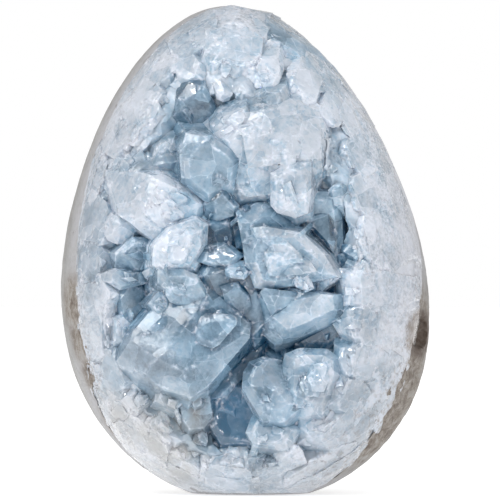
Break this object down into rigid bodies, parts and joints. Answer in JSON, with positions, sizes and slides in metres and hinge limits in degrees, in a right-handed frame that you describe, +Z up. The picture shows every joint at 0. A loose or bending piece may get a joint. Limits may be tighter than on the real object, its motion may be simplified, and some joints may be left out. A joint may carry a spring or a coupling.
{
  "type": "celestite geode",
  "caption": "Egg-shaped celestite geode on a flat foot: a smooth grey rock rind around an open front lined with pale blue crystals.",
  "frame": {"origin": "middle of the flat foot that the geode stands on", "axes": "+Z up to the egg's tip, -Y out of the open front with the crystals, +X to the right as seen from the front"},
  "size_m": [0.0833, 0.0716, 0.1099],
  "materials": {
    "rock": "ground smooth, unpolished, with pits and brown patches",
    "celestite": "milky pale blue crystal, glassy faces with frosted edges"
  },
  "bodies": {
    "root": {"rock_rind": "rock", "celestite_crust": "celestite"}
  },
  "joints": []
}
